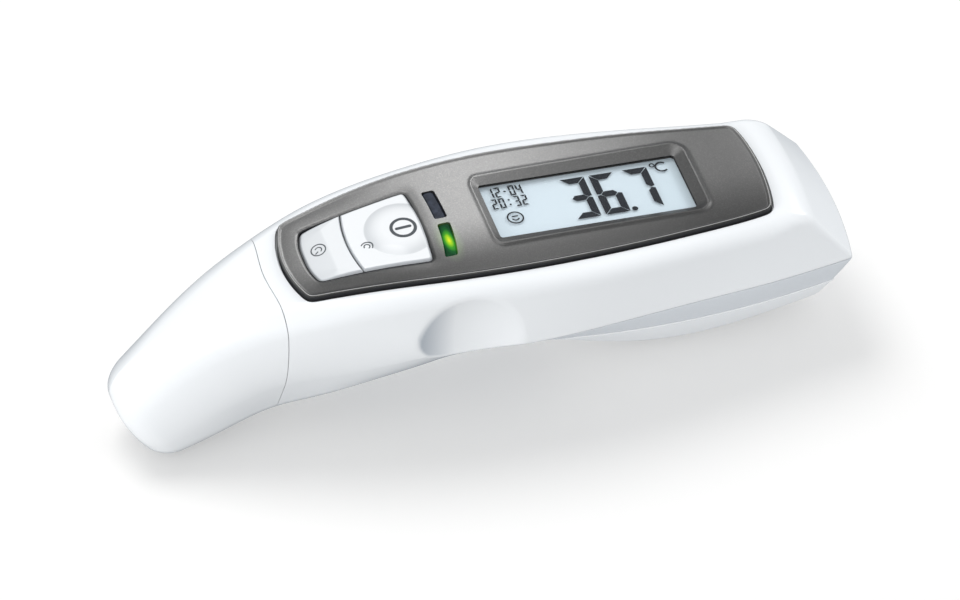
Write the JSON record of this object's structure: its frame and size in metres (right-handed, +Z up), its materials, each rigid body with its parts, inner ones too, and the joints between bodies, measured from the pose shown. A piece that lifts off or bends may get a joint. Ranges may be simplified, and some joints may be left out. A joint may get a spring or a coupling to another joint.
{
  "type": "ear and forehead thermometer",
  "caption": "Hand-held infrared ear and forehead thermometer with display, press buttons, removable nose cap and battery door on a bulged underside.",
  "frame": {"origin": "on the resting plane, under the middle of the whole length, on the plane of symmetry", "axes": "+X to the display end, -X to the nose and cap, +Y across, +Z up through the display"},
  "size_m": [0.1387, 0.0388, 0.0394],
  "materials": {
    "white_shell": "white gloss moulded plastic",
    "rear_shell": "cool white satin gloss moulded plastic",
    "bezel_grey": "metallic grey painted plastic, satin",
    "black_rubber": "black soft rubber",
    "clear_window": "clear gloss acrylic",
    "lcd": "reflective liquid crystal glass",
    "light_guide": "translucent white light guide",
    "frame_plastic": "natural white moulded plastic",
    "zebra_rubber": "layered conductive silicone",
    "silicone": "translucent silicone",
    "black_plastic": "black moulded plastic",
    "led_window_dark": "smoked clear plastic, unlit",
    "led_window_lit": "clear plastic lit green",
    "led_lens": "diffused resin",
    "circuit_board": "green solder mask on glass laminate",
    "nose_plastic": "light grey satin plastic",
    "brass_sleeve": "turned brass",
    "steel": "nickel-plated steel",
    "ir_window": "dark infrared window",
    "cell": "printed sleeve over steel can"
  },
  "bodies": {
    "housing": {"front_housing": "white_shell", "rear_housing": "rear_shell", "bezel_panel": "bezel_grey", "bezel_gasket": "black_rubber", "window_gasket": "black_rubber", "probe_seal": "black_rubber", "display_window": "clear_window", "lcd_glass": "lcd", "lcd_backlight": "light_guide", "lcd_frame": "frame_plastic", "sensor_connector": "frame_plastic", "zebra_strip": "zebra_rubber", "button_pad": "silicone", "tact_switch_ear": "black_plastic", "tact_switch_forehead": "black_plastic", "microcontroller": "black_plastic", "buzzer": "black_plastic", "sensor_cable": "black_plastic", "led_window_red": "led_window_dark", "led_window_green": "led_window_lit", "led_red": "led_lens", "led_green": "led_lens", "main_pcb": "circuit_board", "probe_housing": "nose_plastic", "sensor_sleeve": "brass_sleeve", "thermopile_sensor": "steel", "contact_positive": "steel", "contact_negative": "steel", "contact_bridge": "steel", "contact_spring_bridge": "steel", "contact_spring_negative": "steel", "housing_screw_1": "steel", "housing_screw_2": "steel", "probe_screw_1": "steel", "probe_screw_2": "steel", "sensor_window": "ir_window", "battery_1": "cell", "battery_2": "cell"},
    "ear_button": {"ear_button": "white_shell"},
    "forehead_button": {"forehead_button": "white_shell"},
    "probe_cap": {"probe_cap": "white_shell"},
    "battery_door": {"battery_door": "rear_shell"}
  },
  "joints": [
    {"name": "ear_button_press", "type": "slide", "parent": "housing", "child": "ear_button", "axis": [-0.0872, 0, -0.9962], "range_m": [0, 0.0005], "stiffness_N_per_m": 2500},
    {"name": "forehead_button_press", "type": "slide", "parent": "housing", "child": "forehead_button", "axis": [-0.0872, 0, -0.9962], "range_m": [0, 0.0005], "stiffness_N_per_m": 2500},
    {"name": "cap_pull_off", "type": "slide", "parent": "housing", "child": "probe_cap", "axis": [-0.9205, 0, -0.3907], "range_m": [0, 0.034]},
    {"name": "battery_door_off", "type": "slide", "parent": "housing", "child": "battery_door", "axis": [0, 0, -1], "range_m": [0, 0.02]}
  ]
}
